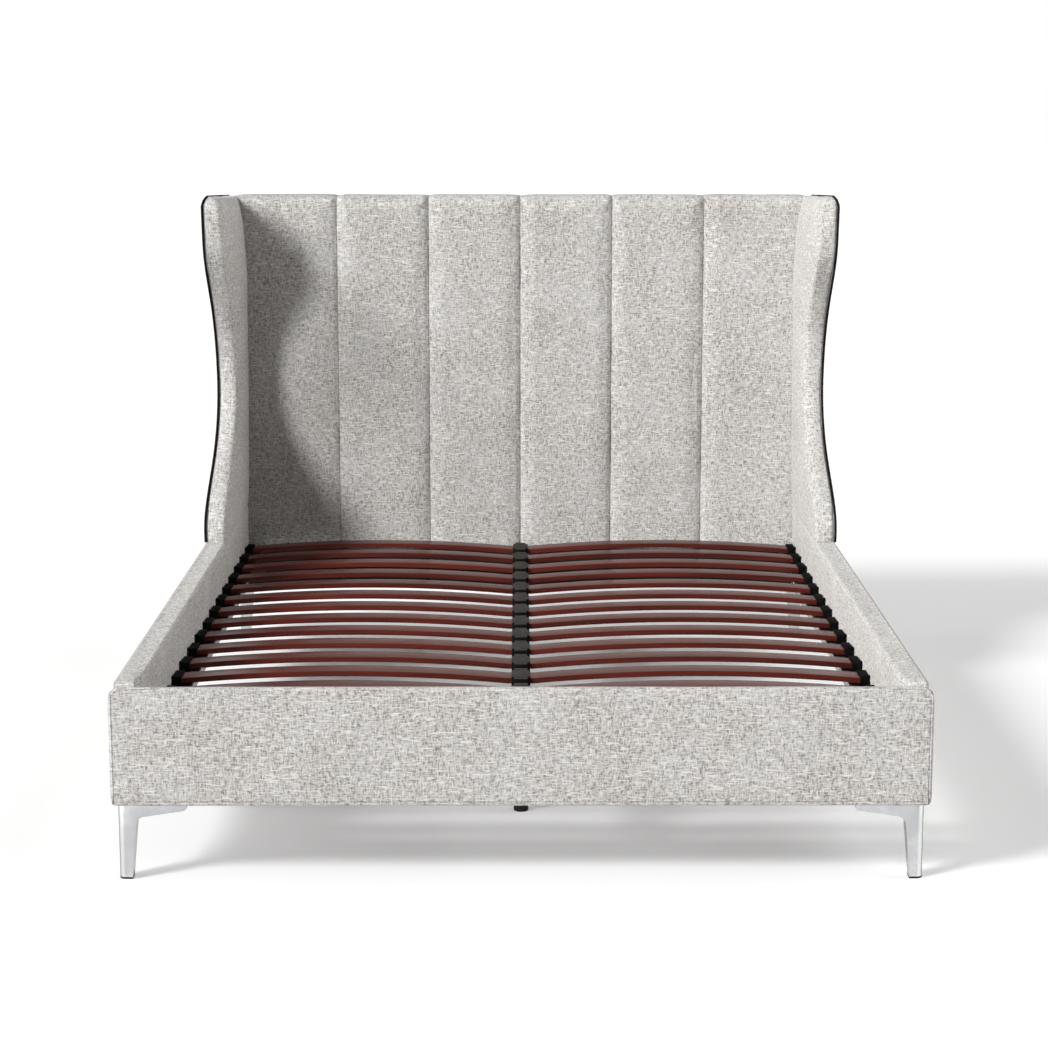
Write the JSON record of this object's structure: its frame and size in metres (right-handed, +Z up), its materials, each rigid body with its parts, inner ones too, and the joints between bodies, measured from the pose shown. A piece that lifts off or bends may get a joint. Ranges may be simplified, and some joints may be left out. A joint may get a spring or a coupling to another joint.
{
  "type": "upholstered bed frame",
  "caption": "Upholstered bed frame with a channelled headboard between curved wings, low padded rails, sprung slats and polished corner legs.",
  "frame": {"origin": "centre of the bed's footprint on the floor", "axes": "+Y runs along the bed from the foot to the head, +X across it to the right as seen from the foot, +Z up"},
  "size_m": [1.6368, 2.2036, 1.2518],
  "materials": {
    "fabric": "light grey slubbed tweed",
    "back_fabric": "plain grey backing cloth",
    "piping": "black cord piping",
    "plywood": "raw plywood",
    "timber": "raw softwood",
    "slat_wood": "dark red-brown lacquered beech",
    "steel": "black powder coat",
    "polished": "polished, softly satin",
    "zinc": "zinc plated",
    "plastic": "black moulded plastic"
  },
  "bodies": {
    "bed": {"beam_hangers": "steel", "centre_beam": "steel", "centre_leg_foot_end": "steel", "centre_leg_head_end": "steel", "corner_brackets": "steel", "corner_leg_foot_left": "polished", "corner_leg_foot_right": "polished", "corner_leg_head_left": "polished", "corner_leg_head_right": "polished", "corner_leg_pads": "plastic", "foot_rail_board": "timber", "foot_rail_cover": "fabric", "foot_rail_welt_left": "fabric", "foot_rail_welt_right": "fabric", "frame_bolts": "zinc", "headboard_back_panel": "back_fabric", "headboard_board": "plywood", "headboard_channel_1": "fabric", "headboard_channel_2": "fabric", "headboard_channel_3": "fabric", "headboard_channel_4": "fabric", "headboard_channel_5": "fabric", "headboard_channel_6": "fabric", "headboard_frame": "timber", "side_rail_board_left": "timber", "side_rail_board_right": "timber", "side_rail_cover_left": "fabric", "side_rail_cover_right": "fabric", "slat_caps_left": "plastic", "slat_caps_right": "plastic", "slat_ledge_left": "steel", "slat_ledge_right": "steel", "slat_middle_holders": "plastic", "slat_row_01": "slat_wood", "slat_row_02": "slat_wood", "slat_row_03": "slat_wood", "slat_row_04": "slat_wood", "slat_row_05": "slat_wood", "slat_row_06": "slat_wood", "slat_row_07": "slat_wood", "slat_row_08": "slat_wood", "slat_row_09": "slat_wood", "slat_row_10": "slat_wood", "slat_row_11": "slat_wood", "slat_row_12": "slat_wood", "slat_row_13": "slat_wood", "slat_row_14": "slat_wood", "slat_row_15": "slat_wood", "wing_core_left": "plywood", "wing_core_right": "plywood", "wing_pad_left": "fabric", "wing_pad_right": "fabric", "wing_panel_left": "fabric", "wing_panel_right": "fabric", "wing_piping_left": "piping", "wing_piping_right": "piping"},
    "glide_foot_end": {"glide_pad_foot_end": "plastic"},
    "stem_foot_end": {"levelling_stem_foot_end": "zinc"},
    "glide_head_end": {"glide_pad_head_end": "plastic"},
    "stem_head_end": {"levelling_stem_head_end": "zinc"}
  },
  "joints": [
    {"name": "glide_foot_end_travel", "type": "slide", "parent": "bed", "child": "glide_foot_end", "axis": [0, 0, 1], "range_m": [-0.006, 0.01]},
    {"name": "stem_foot_end_turn", "type": "hinge", "parent": "glide_foot_end", "child": "stem_foot_end", "pos_m": [0, -0.63275, 0.05], "axis": [0, 0, 1], "range_deg": [-541, 901]},
    {"name": "glide_head_end_travel", "type": "slide", "parent": "bed", "child": "glide_head_end", "axis": [0, 0, 1], "range_m": [-0.006, 0.01]},
    {"name": "stem_head_end_turn", "type": "hinge", "parent": "glide_head_end", "child": "stem_head_end", "pos_m": [0, 0.46725, 0.05], "axis": [0, 0, 1], "range_deg": [-541, 901]}
  ],
  "couplings": [
    {"joint": "stem_foot_end_turn", "follows": "glide_foot_end_travel", "rad_per_m": 1570.8},
    {"joint": "stem_head_end_turn", "follows": "glide_head_end_travel", "rad_per_m": 1570.8}
  ]
}
